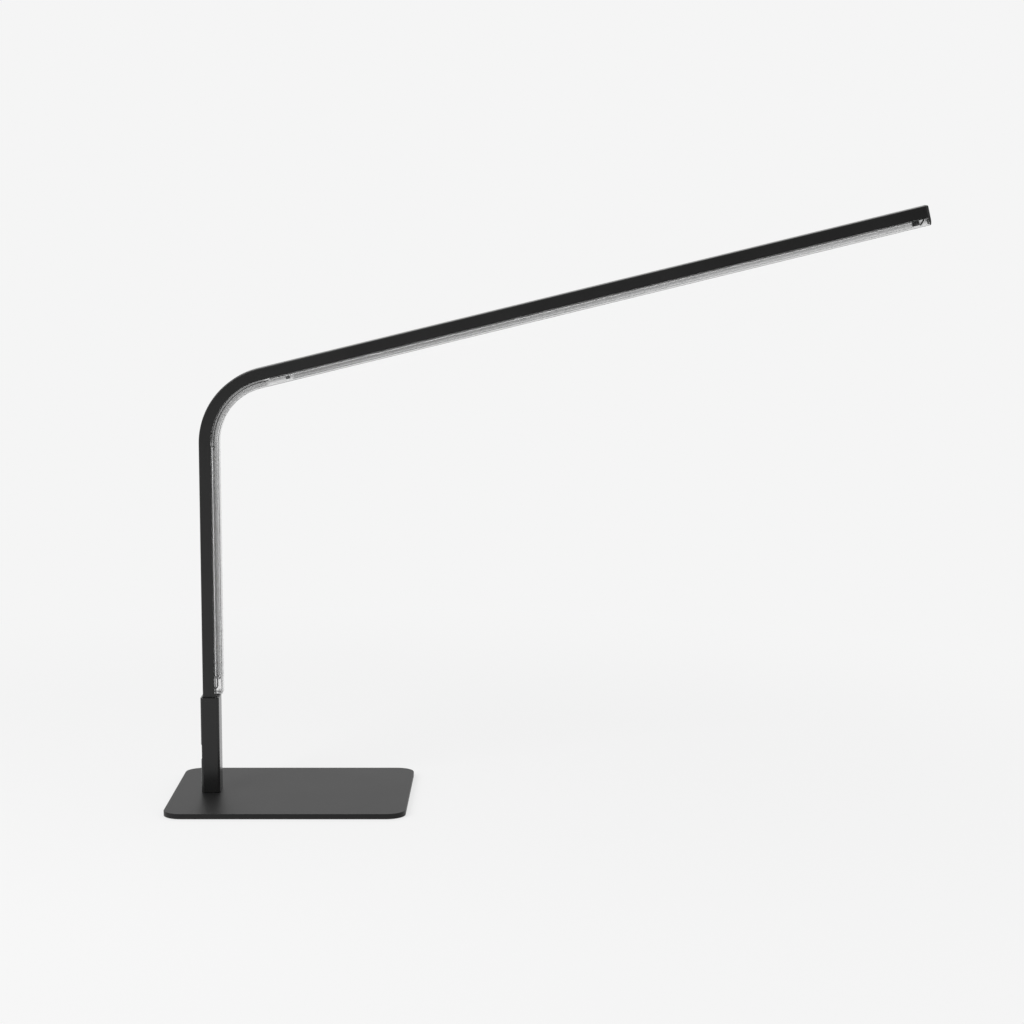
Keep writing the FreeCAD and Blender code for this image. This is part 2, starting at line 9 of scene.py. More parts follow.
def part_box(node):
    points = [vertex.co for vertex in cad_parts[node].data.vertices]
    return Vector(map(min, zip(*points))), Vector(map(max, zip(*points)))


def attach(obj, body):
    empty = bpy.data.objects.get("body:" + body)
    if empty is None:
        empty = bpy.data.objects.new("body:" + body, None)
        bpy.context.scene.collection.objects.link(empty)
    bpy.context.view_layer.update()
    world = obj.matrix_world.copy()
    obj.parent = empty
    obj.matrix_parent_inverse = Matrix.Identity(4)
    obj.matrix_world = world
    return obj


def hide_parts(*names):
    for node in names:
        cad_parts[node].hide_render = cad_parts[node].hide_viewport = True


# Desk lamp: a bent black arm with a clear light cover on its inner side, on a flat plate.
# Metres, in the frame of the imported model: +X is the way the arm reaches, +Z is up.

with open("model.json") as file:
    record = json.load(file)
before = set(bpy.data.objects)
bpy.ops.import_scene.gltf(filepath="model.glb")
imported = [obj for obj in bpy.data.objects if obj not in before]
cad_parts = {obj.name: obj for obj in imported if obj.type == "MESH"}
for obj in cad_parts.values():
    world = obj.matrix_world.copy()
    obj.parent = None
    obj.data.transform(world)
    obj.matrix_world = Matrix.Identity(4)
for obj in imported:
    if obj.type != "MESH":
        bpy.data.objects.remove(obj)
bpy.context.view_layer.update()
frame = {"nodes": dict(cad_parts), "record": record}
nodes = frame["nodes"]
print("frame loaded,", len(nodes), "nodes")


# Mesh helpers

tiny = 1e-6
smoothAngle = 38  # degrees; steeper edges stay sharp
quarterTurn = math.radians(90)


def vertsOf(geom):
    return [item for item in geom if isinstance(item, bmesh.types.BMVert)]


def edgesOf(geom):
    return [item for item in geom if isinstance(item, bmesh.types.BMEdge)]


def facesOf(geom):
    return [item for item in geom if isinstance(item, bmesh.types.BMFace)]


def edgesOfFaces(faces):
    return list(dict.fromkeys(edge for face in faces for edge in face.edges))


def vertsOfFaces(faces):
    return list(dict.fromkeys(vert for face in faces for vert in face.verts))


def facesAtVerts(verts):
    return list(dict.fromkeys(face for vert in verts for face in vert.link_faces))


def edgesBetween(bm, test):
    return [edge for edge in bm.edges if all(test(vert.co) for vert in edge.verts)]


def geomWhere(bm, test):
    # The vertices that pass a test, with the edges and faces wholly among them
    verts = [vert for vert in bm.verts if test(vert.co)]
    faces = [face for face in bm.faces if all(test(vert.co) for vert in face.verts)]
    return verts + edgesBetween(bm, test) + faces


def outlineFace(bm, points):
    corners = [bm.verts.new(point) for point in points]
    bm.faces.new(corners)
    return corners


def roundCorners(bm, corners, radius, segments):
    bmesh.ops.bevel(bm, geom=corners, offset=radius, offset_type="OFFSET", segments=segments,
                    profile=0.5, affect="VERTICES", material=-1)


def softenEdges(bm, edges, width, segments):
    bmesh.ops.bevel(bm, geom=edges, offset=width, offset_type="OFFSET", segments=segments,
                    profile=0.5, affect="EDGES", material=-1)


def softenAt(bm, axis, place, width, segments):
    # Softens the edges that lie at one place on an axis
    edges = edgesBetween(bm, lambda co: abs(getattr(co, axis) - place) < tiny)
    softenEdges(bm, edges, width, segments)


def pushFaces(bm, faces, move):
    # With its edges given too, a face inside the new solid is taken away
    geom = bmesh.ops.extrude_face_region(bm, geom=faces + edgesOfFaces(faces))["geom"]
    bmesh.ops.translate(bm, verts=vertsOf(geom), vec=move)
    return facesOf(geom)


def spinFaces(bm, faces, centre, angle, steps):
    # Carries faces round a centre in the arm's plane and gives those at the end
    geom = faces + edgesOfFaces(faces) + vertsOfFaces(faces)
    spun = bmesh.ops.spin(bm, geom=geom, cent=centre, axis=(0, 1, 0), dvec=(0, 0, 0), angle=angle,
                          steps=steps, use_merge=False, use_duplicate=False)
    return facesOf(spun["geom_last"])


def addBox(bm, low, high):
    size = high - low
    place = Matrix.Translation((low + high) / 2) @ Matrix.Diagonal((*size, 1))
    return bmesh.ops.create_cube(bm, size=1, matrix=place)["verts"]


def addPart(bm, low, high, finish):
    # Box in another of the piece's finishes
    for face in facesAtVerts(addBox(bm, low, high)):
        face.material_index = finish


def addRod(bm, startX, endX, height, radius, sides):
    # Closed round bar along X in the lamp's middle plane
    middle = Matrix.Translation(((startX + endX) / 2, 0, height))
    bmesh.ops.create_cone(bm, cap_ends=True, segments=sides, radius1=radius, radius2=radius,
                          depth=endX - startX, matrix=middle @ Matrix.Rotation(quarterTurn, 4, "Y"))


def roundedSlab(bm, low, high, corner, segments):
    # Upright block with a rounded rectangle for its plan
    plan = [(low.x, low.y), (high.x, low.y), (high.x, high.y), (low.x, high.y)]
    corners = outlineFace(bm, [Vector((x, y, low.z)) for x, y in plan])
    roundCorners(bm, corners, corner, segments)
    pushFaces(bm, list(bm.faces), Vector((0, 0, high.z - low.z)))


def looseObject(name, bm):
    bmesh.ops.recalc_face_normals(bm, faces=bm.faces)
    mesh = bpy.data.meshes.new(name)
    bm.to_mesh(mesh)
    bm.free()
    made = bpy.data.objects.new(name, mesh)
    bpy.context.scene.collection.objects.link(made)
    return made


def combine(piece, other, operation):
    # Boolean with a helper object, applied at once
    modifier = piece.modifiers.new("combine", "BOOLEAN")
    modifier.operation = operation
    modifier.solver = "EXACT"
    modifier.object = other
    evaluated = piece.evaluated_get(bpy.context.evaluated_depsgraph_get())
    mesh = bpy.data.meshes.new_from_object(evaluated)
    piece.modifiers.clear()
    piece.data = mesh
    bpy.data.objects.remove(other)


def cutAway(piece, bm):
    combine(piece, looseObject("cutter", bm), "DIFFERENCE")


def joinInto(piece, bm):
    combine(piece, looseObject("addition", bm), "UNION")


def dressPiece(piece, body, materials, node):
    # Shading, finish and place in the frame of a finished mesh
    for material in materials:
        piece.data.materials.append(material)
    piece.data.shade_smooth()
    piece.data.set_sharp_from_angle(angle=math.radians(smoothAngle))
    weighted = piece.modifiers.new("evenNormals", "WEIGHTED_NORMAL")
    weighted.keep_sharp = True
    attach(piece, body)
    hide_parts(node)


def makePiece(name, bm, body, materials, node):
    dressPiece(looseObject(name, bm), body, materials, node)


# The arm's line: up the post, round one bend and along the slope

armLine = dict(slope=13.7, cornerHeight=0.4038, slopeLength=0.7134, bendRadius=0.074, bendSteps=60)

channelLow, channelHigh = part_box("arm_channel")
backX = channelLow.x
halfDepth = channelHigh.y
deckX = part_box("lower_connector")[0].x
deckOut = deckX - backX
turn = math.radians(90 - armLine["slope"])
bendReach = armLine["bendRadius"] * math.tan(turn / 2)
bendZ = armLine["cornerHeight"] - bendReach
tipZ = bendZ + armLine["slopeLength"] - bendReach  # the tip, as if the arm ran straight up
bendCentre = Vector((backX + armLine["bendRadius"], 0, bendZ))
ontoSlope = (Matrix.Translation(bendCentre) @ Matrix.Rotation(turn, 4, "Y")
             @ Matrix.Translation(-bendCentre))
alongSlope = Vector((math.sin(turn), 0, math.cos(turn)))


def armPoint(out, across, height):
    # A place on the arm: out from its back face, across it, and up it before the bend
    return Vector((backX + out, across, height))


def mirroredOutline(half, height):
    near = [armPoint(out, across, height) for out, across in half]
    far = [armPoint(out, -across, height) for out, across in reversed(half)]
    return near + far


def sweepUpArm(bm, startZ, endZ):
    # Carries level faces up the post, round the bend and along the slope
    top = pushFaces(bm, list(bm.faces), Vector((0, 0, bendZ - startZ)))
    last = spinFaces(bm, top, bendCentre, turn, armLine["bendSteps"])
    pushFaces(bm, last, alongSlope * (endZ - bendZ))


def turnOntoSlope(bm):
    bmesh.ops.transform(bm, matrix=ontoSlope, verts=list(bm.verts))


def slopeReach(point):
    # How far along the slope a place is from the bend's end
    return (point - bendCentre).dot(alongSlope)


def riseOf(point):
    # Height of a place on the arm above its deck
    if point.z < bendZ:
        return point.x - backX - deckOut
    reach = point - bendCentre
    if slopeReach(point) > 0:
        back = (ontoSlope @ armPoint(deckOut, 0, bendZ)) - bendCentre
        return -(reach.dot(back.normalized()) - back.length)
    return armLine["bendRadius"] - deckOut - Vector((reach.x, reach.z)).length


# Materials

mixFactor, mixFirst, mixSecond, mixResult = 0, 6, 7, 2  # sockets of a Mix node set to colours
noiseLow, noiseHigh = 0.3, 0.7  # nearly all of a noise lies between these


def addNode(owner, kind, **values):
    # A value goes to the input of that name, or else to the node's own setting
    node = owner.node_tree.nodes.new(kind)
    for name, value in values.items():
        if name in node.inputs:
            node.inputs[name].default_value = value
        else:
            setattr(node, name, value)
    return node


def link(owner, start, end):
    owner.node_tree.links.new(start, end)


def gray(level):
    return (level, level, level)


def opaque(color):
    return (*color, 1)


def newMaterial(name, color, roughness, **sockets):
    material = bpy.data.materials.new(name)
    material.use_nodes = True
    shader = material.node_tree.nodes["Principled BSDF"]
    shader.inputs["Base Color"].default_value = opaque(color)
    shader.inputs["Roughness"].default_value = roughness
    for socket, value in sockets.items():
        shader.inputs[socket].default_value = value
    return material, shader


def surfacePoint(material):
    return addNode(material, "ShaderNodeTexCoord").outputs["Object"]


def noiseOf(material, size, detail):
    noise = addNode(material, "ShaderNodeTexNoise", Scale=1 / size, Detail=detail)
    link(material, surfacePoint(material), noise.inputs["Vector"])
    return noise.outputs["Fac"]


def rangeOf(material, factor, start, end, low=0.0, high=1.0):
    # Carries what lies between start and end over to low and high
    spread = addNode(material, "ShaderNodeMapRange", **{
        "From Min": start, "From Max": end, "To Min": low, "To Max": high})
    link(material, factor, spread.inputs["Value"])
    return spread.outputs["Result"]


def gradeAlong(material, axis, start, end):
    # 0 to 1 between two places on an axis
    place = addNode(material, "ShaderNodeSeparateXYZ")
    link(material, surfacePoint(material), place.inputs["Vector"])
    return rangeOf(material, place.outputs[axis], start, end)


def addBump(material, shader, height, depth):
    bump = addNode(material, "ShaderNodeBump", Distance=depth, Strength=1.0)
    link(material, height, bump.inputs["Height"])
    link(material, bump.outputs["Normal"], shader.inputs["Normal"])


def mixedColor(material, factor, first, second):
    # Each of the two is a fixed colour or the output of a node
    mix = addNode(material, "ShaderNodeMix", data_type="RGBA")
    link(material, factor, mix.inputs[mixFactor])
    for place, color in ((mixFirst, first), (mixSecond, second)):
        if isinstance(color, tuple):
            mix.inputs[place].default_value = opaque(color)
        else:
            link(material, color, mix.inputs[place])
    return mix.outputs[mixResult]


def shadeBetween(material, shader, factor, first, second):
    link(material, mixedColor(material, factor, first, second), shader.inputs["Base Color"])


def grainedMaterial(name, dark, pale, roughness, grain, blotch, spread=0.05, depth=0.00001,
                    metallic=0.0, specular=0.5):
    # A moulded or coated skin: fine grain, and cloudy changes of tone and gloss.
    # Grain and blotch are sizes, depth is the grain's height, spread is the change of gloss.
    material, shader = newMaterial(name, dark, roughness, Metallic=metallic,
                                   **{"Specular IOR Level": specular})
    cloud = noiseOf(material, blotch, detail=3.0)
    shadeBetween(material, shader, rangeOf(material, cloud, noiseLow, noiseHigh), dark, pale)
    gloss = rangeOf(material, cloud, noiseLow, noiseHigh, roughness - spread, roughness + spread)
    link(material, gloss, shader.inputs["Roughness"])
    addBump(material, shader, noiseOf(material, grain, detail=3.0), depth)
    return material


armBlack = grainedMaterial("armBlack", gray(0.009), gray(0.011), roughness=0.3, grain=0.0005,
                           blotch=0.05, spread=0.02, depth=0.00002, specular=0.36)
sleeveBlack = grainedMaterial("sleeveBlack", gray(0.009), gray(0.011), roughness=0.21, grain=0.0004,
                              blotch=0.03, spread=0.01, depth=0.000015, specular=0.34)
basePaint = grainedMaterial("basePaint", gray(0.0125), gray(0.0145), roughness=0.43, grain=0.0006,
                            blotch=0.06, spread=0.008, depth=0.00004, specular=0.16)
padRubber = grainedMaterial("padRubber", gray(0.02), gray(0.03), roughness=0.85, grain=0.0008,
                            blotch=0.02, depth=0.0001)
blackPlastic = grainedMaterial("blackPlastic", gray(0.012), gray(0.016), roughness=0.5,
                               grain=0.0003, blotch=0.01, spread=0.04, depth=0.00002)
plugGray = grainedMaterial("plugGray", gray(0.20), gray(0.23), roughness=0.5, grain=0.0003,
                           blotch=0.004, spread=0.04, depth=0.00002)
palePlastic = grainedMaterial("palePlastic", gray(0.78), gray(0.84), roughness=0.4, grain=0.0004,
                              blotch=0.004)
leadSheath = grainedMaterial("leadSheath", gray(0.01), gray(0.014), roughness=0.45, grain=0.0003,
                             blotch=0.005)
ribbonSheath = grainedMaterial("ribbonSheath", gray(0.16), gray(0.19), roughness=0.7, grain=0.0004,
                               blotch=0.01, specular=0.1)
boardWhite = grainedMaterial("boardWhite", gray(0.82), gray(0.86), roughness=0.4, grain=0.0006,
                             blotch=0.006, depth=0.000005)
boardDark = grainedMaterial("boardDark", (0.01, 0.02, 0.014), (0.014, 0.026, 0.018), roughness=0.4,
                            grain=0.0005, blotch=0.004)
boardGreen = grainedMaterial("boardGreen", (0.01, 0.09, 0.04), (0.015, 0.12, 0.05), roughness=0.35,
                             grain=0.0005, blotch=0.005)
ferriteGray = grainedMaterial("ferriteGray", gray(0.03), gray(0.05), roughness=0.7, grain=0.0003,
                              blotch=0.003, depth=0.00003)
capacitorTan = grainedMaterial("capacitorTan", (0.35, 0.22, 0.12), (0.42, 0.27, 0.15),
                               roughness=0.5, grain=0.0003, blotch=0.002)
phosphor = grainedMaterial("phosphor", (0.80, 0.62, 0.16), (0.86, 0.70, 0.22), roughness=0.45,
                           grain=0.0002, blotch=0.001)
springSteel = grainedMaterial("springSteel", gray(0.40), gray(0.46), roughness=0.32, grain=0.0004,
                              blotch=0.004, metallic=1.0)
screwBlack = grainedMaterial("screwBlack", gray(0.03), gray(0.05), roughness=0.4, grain=0.0003,
                             blotch=0.002, spread=0.06, depth=0.00002, metallic=1.0)
plugAluminium = grainedMaterial("plugAluminium", gray(0.56), gray(0.62), roughness=0.38,
                                grain=0.0004, blotch=0.006, metallic=1.0)
contactBrass = grainedMaterial("contactBrass", (0.72, 0.55, 0.26), (0.80, 0.62, 0.32),
                               roughness=0.28, grain=0.0003, blotch=0.003, metallic=1.0)
contactBlack = grainedMaterial("contactBlack", gray(0.02), gray(0.035), roughness=0.4,
                               grain=0.0003, blotch=0.003, specular=0.3)
solderTin = grainedMaterial("solderTin", gray(0.55), gray(0.65), roughness=0.3, grain=0.0003,
                            blotch=0.002, spread=0.06, depth=0.00002, metallic=1.0)

# The cover's tints go by height above the deck: beside the boards, and round the bend. Their darker
# stops near the deck are painted shade.
coverLook = dict(roughness=0.06, ior=1.38, height=0.0077, endTint=0.93, endFade=0.0003,
                 footTint=0.3, footHeight=0.0027,
                 straightTintsWithPaintedShade=[(0, 0.88), (0.0012, 0.90), (0.002, 0.80), (0.0027, 0.58),
                                (0.0042, 0.69), (0.0062, 0.90), (0.0077, 0.82)],
                 bendTintsWithPaintedShade=[(0, 0.42), (0.0015, 0.54), (0.0022, 0.64), (0.003, 0.74),
                            (0.0045, 0.77), (0.0062, 0.86), (0.0077, 0.82)])
plugLook = dict(tint=0.95, footTint=0.2, footHeight=0.0026, roughness=0.05, ior=1.45)
# The film grows paler along X toward the tip: painted light.
filmLook = dict(share=0.97, ior=1.12, footTint=0.82, tipTintWithPaintedLight=1.0, gradeFrom=-0.05, gradeTo=0.45,
                roughness=0.12, grain=0.0004, grainDetail=2.0, grainDepth=0.00001)
pilotLook = dict(tint=0.5, roughness=0.04, ior=1.49)


def clearMaterial(name, tint, look, share=1.0):
    return newMaterial(name, gray(tint), look["roughness"], IOR=look["ior"],
                       **{"Transmission Weight": share})


def tintRamp(material, fraction, tints, height):
    ramp = addNode(material, "ShaderNodeValToRGB")
    stops = ramp.color_ramp.elements
    stops.remove(stops[1])
    stops[0].position, stops[0].color = 0, opaque(gray(tints[0][1]))
    for rise, tint in tints[1:]:
        stops.new(rise / height).color = opaque(gray(tint))
    link(material, fraction, ramp.inputs["Fac"])
    return ramp.outputs["Color"]


def footGrade(material, node, look):
    # 0 in the lower half of a piece's dark foot, 1 above it
    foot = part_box(node)[0].z
    return gradeAlong(material, "Z", foot + look["footHeight"] / 2, foot + look["footHeight"])


def coverMaterial(look):
    # Clear plastic, darker near the deck beside the boards and round the bend with painted shade,
    # clear below the films, with a dark foot.
    # The mesh keeps the attributes rise and bend.
    material, shader = clearMaterial("coverClear", look["straightTintsWithPaintedShade"][-1][1], look)
    rise = addNode(material, "ShaderNodeAttribute", attribute_name="rise")
    bend = addNode(material, "ShaderNodeAttribute", attribute_name="bend")
    fraction = rangeOf(material, rise.outputs["Fac"], 0.0, look["height"])
    straight, bent = [tintRamp(material, fraction, look[tints], look["height"])
                      for tints in ("straightTintsWithPaintedShade", "bendTintsWithPaintedShade")]
    tintWithPaintedShade = mixedColor(material, bend.outputs["Fac"], straight, bent)
    end = mixedColor(material, footGrade(material, "light_cover", look), gray(look["footTint"]),
                     gray(look["endTint"]))
    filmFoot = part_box("lower_diffuser")[0].z
    aboveEnd = gradeAlong(material, "Z", filmFoot - look["endFade"], filmFoot)
    shadeBetween(material, shader, aboveEnd, end, tintWithPaintedShade)
    return material


def plugMaterial(look):
    # Clear block, dark at its foot
    material, shader = clearMaterial("plugClear", look["tint"], look)
    shadeBetween(material, shader, footGrade(material, "cover_end_plug", look),
                 gray(look["footTint"]), gray(look["tint"]))
    return material


def filmMaterial(look):
    # Milky film, paler toward the arm's tip with painted light
    material, shader = clearMaterial("diffuserFilm", look["footTint"], look, look["share"])
    grade = gradeAlong(material, "X", look["gradeFrom"], look["gradeTo"])
    shadeBetween(material, shader, grade, gray(look["footTint"]), gray(look["tipTintWithPaintedLight"]))
    addBump(material, shader, noiseOf(material, look["grain"], look["grainDetail"]),
            look["grainDepth"])
    return material


coverClear = coverMaterial(coverLook)
plugClear = plugMaterial(plugLook)
diffuserFilm = filmMaterial(filmLook)
pilotClear = clearMaterial("pilotClear", pilotLook["tint"], pilotLook)[0]
print("materials made")


# Base plate and its pad

basePlateShape = dict(corner=0.018, cornerSegments=24, topRound=0.0005, footRound=0.0004,
                      roundSegments=4)


def makeBasePlate():
    shape = basePlateShape
    low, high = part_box("base_plate")
    bm = bmesh.new()
    roundedSlab(bm, low, high, shape["corner"], shape["cornerSegments"])
    softenAt(bm, "z", high.z, shape["topRound"], shape["roundSegments"])
    softenAt(bm, "z", low.z, shape["footRound"], shape["roundSegments"])
    makePiece("basePlate", bm, "base", [basePaint], "base_plate")


basePadShape = dict(corner=0.015, cornerSegments=16)


def makeBasePad():
    shape = basePadShape
    low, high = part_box("base_pad")
    bm = bmesh.new()
    roundedSlab(bm, low, high, shape["corner"], shape["cornerSegments"])
    makePiece("basePad", bm, "base", [padRubber], "base_pad")


makeBasePlate()
makeBasePad()
print("base made")


# Post sleeve, with the power inlet and the screws in its rear

sleeveShape = dict(corner=0.003, cornerSegments=10, wall=0.0014, rimRound=0.0005, rimSegments=3,
                   seatDepth=0.0008, seatHeight=0.0146, overrun=0.001, screwHole=0.00205,
                   holeSides=40)


def inletMiddle():
    low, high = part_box("dc_jack")
    return (low.z + high.z) / 2


def screwHeights():
    # Read from the solids of the screws' node
    groups = []
    for height in sorted({round(vert.co.z, 4) for vert in nodes["set_screws"].data.vertices}):
        if groups and height - groups[-1][-1] < screwShape["radius"] * 2:
            groups[-1].append(height)
        else:
            groups.append([height])
    return [(group[0] + group[-1]) / 2 for group in groups]


def makePostSleeve():
    shape = sleeveShape
    over = shape["overrun"]
    low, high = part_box("post_sleeve")
    bm = bmesh.new()
    roundedSlab(bm, low, high, shape["corner"], shape["cornerSegments"])
    softenAt(bm, "z", high.z, shape["rimRound"], shape["rimSegments"])
    sleeve = looseObject("postSleeve", bm)

    wall = Vector((shape["wall"], shape["wall"], -over))
    bore = bmesh.new()
    roundedSlab(bore, low + wall, high - wall, shape["corner"] - shape["wall"],
                shape["cornerSegments"])
    cutAway(sleeve, bore)

    inletZ = inletMiddle()
    halfSeat = shape["seatHeight"] / 2
    seat = bmesh.new()
    addBox(seat, Vector((low.x - over, low.y - over, inletZ - halfSeat)),
           Vector((low.x + shape["seatDepth"], high.y + over, inletZ + halfSeat)))
    cutAway(sleeve, seat)

    reach = shape["wall"] + over
    places = [(inletZ, jackShape["noseRadius"] + jackShape["gap"])]
    places += [(height, shape["screwHole"]) for height in screwHeights()]
    holes = bmesh.new()
    for height, radius in places:
        addRod(holes, low.x - reach, low.x + reach, height, radius, shape["holeSides"])
    cutAway(sleeve, holes)
    dressPiece(sleeve, "arm", [sleeveBlack], "post_sleeve")


screwShape = dict(radius=0.002, sides=32, rimRound=0.00025, rimSegments=2, socketAcross=0.002,
                  socketDepth=0.0012, socketSides=6)


def makeSetScrews():
    shape = screwShape
    low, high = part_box("set_screws")
    bm = bmesh.new()
    sockets = bmesh.new()
    for height in screwHeights():
        addRod(bm, low.x, high.x, height, shape["radius"], shape["sides"])
        addRod(sockets, low.x - shape["socketDepth"], low.x + shape["socketDepth"], height,
               shape["socketAcross"] / math.sqrt(3), shape["socketSides"])
    softenAt(bm, "x", low.x, shape["rimRound"], shape["rimSegments"])
    screws = looseObject("setScrews", bm)
    cutAway(screws, sockets)
    dressPiece(screws, "arm", [screwBlack], "set_screws")


jackShape = dict(noseRadius=0.004, gap=0.00005, boreRadius=0.00285, backWall=0.0015,
                 rimRound=0.0003, rimSegments=3, sides=48)


def makeDcJack():
    shape = jackShape
    low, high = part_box("dc_jack")
    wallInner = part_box("post_sleeve")[0].x + sleeveShape["wall"]
    middle = inletMiddle()
    bm = bmesh.new()
    addBox(bm, Vector((wallInner, low.y, low.z)), high)
    jack = looseObject("dcJack", bm)
    nose = bmesh.new()
    addRod(nose, low.x, wallInner + shape["backWall"], middle, shape["noseRadius"], shape["sides"])
    softenAt(nose, "x", low.x, shape["rimRound"], shape["rimSegments"])
    joinInto(jack, nose)
    bore = bmesh.new()
    addRod(bore, low.x - shape["backWall"], high.x - shape["backWall"], middle,
           shape["boreRadius"], shape["sides"])
    cutAway(jack, bore)
    dressPiece(jack, "arm", [blackPlastic], "dc_jack")


jackPinShape = dict(radius=0.001, sides=32, tipRound=0.0004, tipSegments=4)


def makeJackPin():
    shape = jackPinShape
    low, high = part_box("jack_pin")
    bm = bmesh.new()
    addRod(bm, low.x, high.x, inletMiddle(), shape["radius"], shape["sides"])
    softenAt(bm, "x", low.x, shape["tipRound"], shape["tipSegments"])
    makePiece("jackPin", bm, "arm", [contactBrass], "jack_pin")


makePostSleeve()
makeSetScrews()
makeDcJack()
makeJackPin()
print("post made")


# Arm extrusion, light cover and cap

channelShape = dict(backRound=0.0012, roundSegments=6, wall=0.0017, sideWall=0.0024, deck=0.0020,
                    windowRise=0.0016, windowLength=0.0062, windowWidth=0.005, edgeRound=0.0002,
                    edgeSegments=2)
coverShape = dict(height=0.0077, wall=0.0015, faceWall=0.0012, cornerRound=0.0012,
                  cornerSegments=6, foot=0.0010, tongueWidth=0.00095, tongueDepth=0.00155,
                  tongueInset=0.00125, grooveGap=0.00008, seatGap=0.00004, bevelOut=0.0045,
                  bevelUp=0.0022, boardFromBend=0.0084)
capShape = dict(thickness=0.0024, slant=0.0003, chinLength=0.001, chinRise=0.0026,
                chinRound=0.0011, crownRound=0.003, rimRound=0.0009, roundSegments=6,
                spigot=0.008, spigotGap=0.0001)
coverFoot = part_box("light_cover")[0].z
coverOut = deckOut + coverShape["height"]
runEnd = tipZ - capShape["thickness"]


def makeArmChannel():
    shape = channelShape
    cover = coverShape
    start = channelLow.z
    grooveOuter = halfDepth - cover["tongueInset"] + cover["grooveGap"]
    grooveInner = grooveOuter - cover["tongueWidth"] - 2 * cover["grooveGap"]
    grooveFloor = deckOut - cover["tongueDepth"] - cover["grooveGap"]
    half = [(0, halfDepth), (deckOut, halfDepth), (deckOut, grooveOuter),
            (grooveFloor, grooveOuter), (grooveFloor, grooveInner), (deckOut, grooveInner)]
    bm = bmesh.new()
    corners = outlineFace(bm, mirroredOutline(half, start))
    roundCorners(bm, [corners[0], corners[-1]], shape["backRound"], shape["roundSegments"])
    deckCorners = [vert for vert in bm.verts if abs(vert.co.x - deckX) < tiny]
    roundCorners(bm, deckCorners, shape["edgeRound"], shape["edgeSegments"])
    sweepUpArm(bm, start, runEnd)
    channel = looseObject("armChannel", bm)

    side = halfDepth - shape["sideWall"]
    low = shape["wall"]
    high = deckOut - shape["deck"]
    overrun = shape["wall"]
    wireWay = bmesh.new()
    outlineFace(wireWay, mirroredOutline([(low, side), (high, side)], start - overrun))
    sweepUpArm(wireWay, start - overrun, runEnd + overrun)
    cutAway(channel, wireWay)

    windowFoot = coverFoot + shape["windowRise"]
    halfWindow = shape["windowWidth"] / 2
    window = bmesh.new()
    addBox(window, armPoint(high - overrun, -halfWindow, windowFoot),
           armPoint(deckOut + overrun, halfWindow, windowFoot + shape["windowLength"]))
    cutAway(channel, window)
    dressPiece(channel, "arm", [armBlack], "arm_channel")


def bevelCoverEnd(bm):
    # Cuts off the outer corner at the cover's lower end and closes the cut
    shape = coverShape
    facing = Vector((shape["bevelUp"], 0, -shape["bevelOut"])).normalized()
    made = bmesh.ops.bisect_plane(bm, geom=geomWhere(bm, lambda co: co.z < bendZ + tiny), dist=tiny,
                                  plane_co=armPoint(coverOut - shape["bevelOut"], 0, coverFoot),
                                  plane_no=facing, clear_outer=True)
    rim = [edge for edge in edgesOf(made["geom_cut"]) if edge.is_boundary]
    bmesh.ops.edgeloop_fill(bm, edges=rim)


def notePlaces(bm):
    # Keeps each vertex's height above the deck, and whether it lies between the two boards
    boardStart = coverShape["boardFromBend"]
    bmesh.ops.bisect_plane(bm, geom=geomWhere(bm, lambda co: slopeReach(co) > -tiny), dist=tiny,
                           plane_co=bendCentre + alongSlope * boardStart, plane_no=alongSlope)
    rise = bm.verts.layers.float.new("rise")
    bend = bm.verts.layers.float.new("bend")
    for vert in bm.verts:
        vert[rise] = riseOf(vert.co)
        vert[bend] = vert.co.z > bendZ + tiny and slopeReach(vert.co) < boardStart - tiny


def makeLightCover():
    # U-section with feet that carry the boards and tongues that sit in the deck's grooves
    shape = coverShape
    tongueOuter = halfDepth - shape["tongueInset"]
    tongueInner = tongueOuter - shape["tongueWidth"]
    tongueEnd = deckOut - shape["tongueDepth"]
    legInner = halfDepth - shape["wall"]
    wallInner = coverOut - shape["faceWall"]
    footTop = deckOut + shape["foot"]
    seat = deckOut + shape["seatGap"]
    half = [(wallInner, legInner), (footTop, legInner), (footTop, tongueInner),
            (tongueEnd, tongueInner), (tongueEnd, tongueOuter), (seat, tongueOuter),
            (seat, halfDepth), (coverOut, halfDepth)]
    bm = bmesh.new()
    corners = outlineFace(bm, mirroredOutline(half, coverFoot))
    middleOfWall = backX + wallInner + shape["faceWall"] / 2
    roundCorners(bm, [corner for corner in corners if corner.co.x > middleOfWall],
                 shape["cornerRound"], shape["cornerSegments"])
    sweepUpArm(bm, coverFoot, runEnd - shape["seatGap"])
    bevelCoverEnd(bm)
    notePlaces(bm)
    makePiece("lightCover", bm, "arm", [coverClear], "light_cover")


endPlugShape = dict(edgeRound=0.00025, edgeSegments=2)


def makeCoverEndPlug():
    low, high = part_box("cover_end_plug")
    bm = bmesh.new()
    addBox(bm, low, high)
    bevelCoverEnd(bm)
    softenEdges(bm, list(bm.edges), endPlugShape["edgeRound"], endPlugShape["edgeSegments"])
    makePiece("coverEndPlug", bm, "arm", [plugClear], "cover_end_plug")


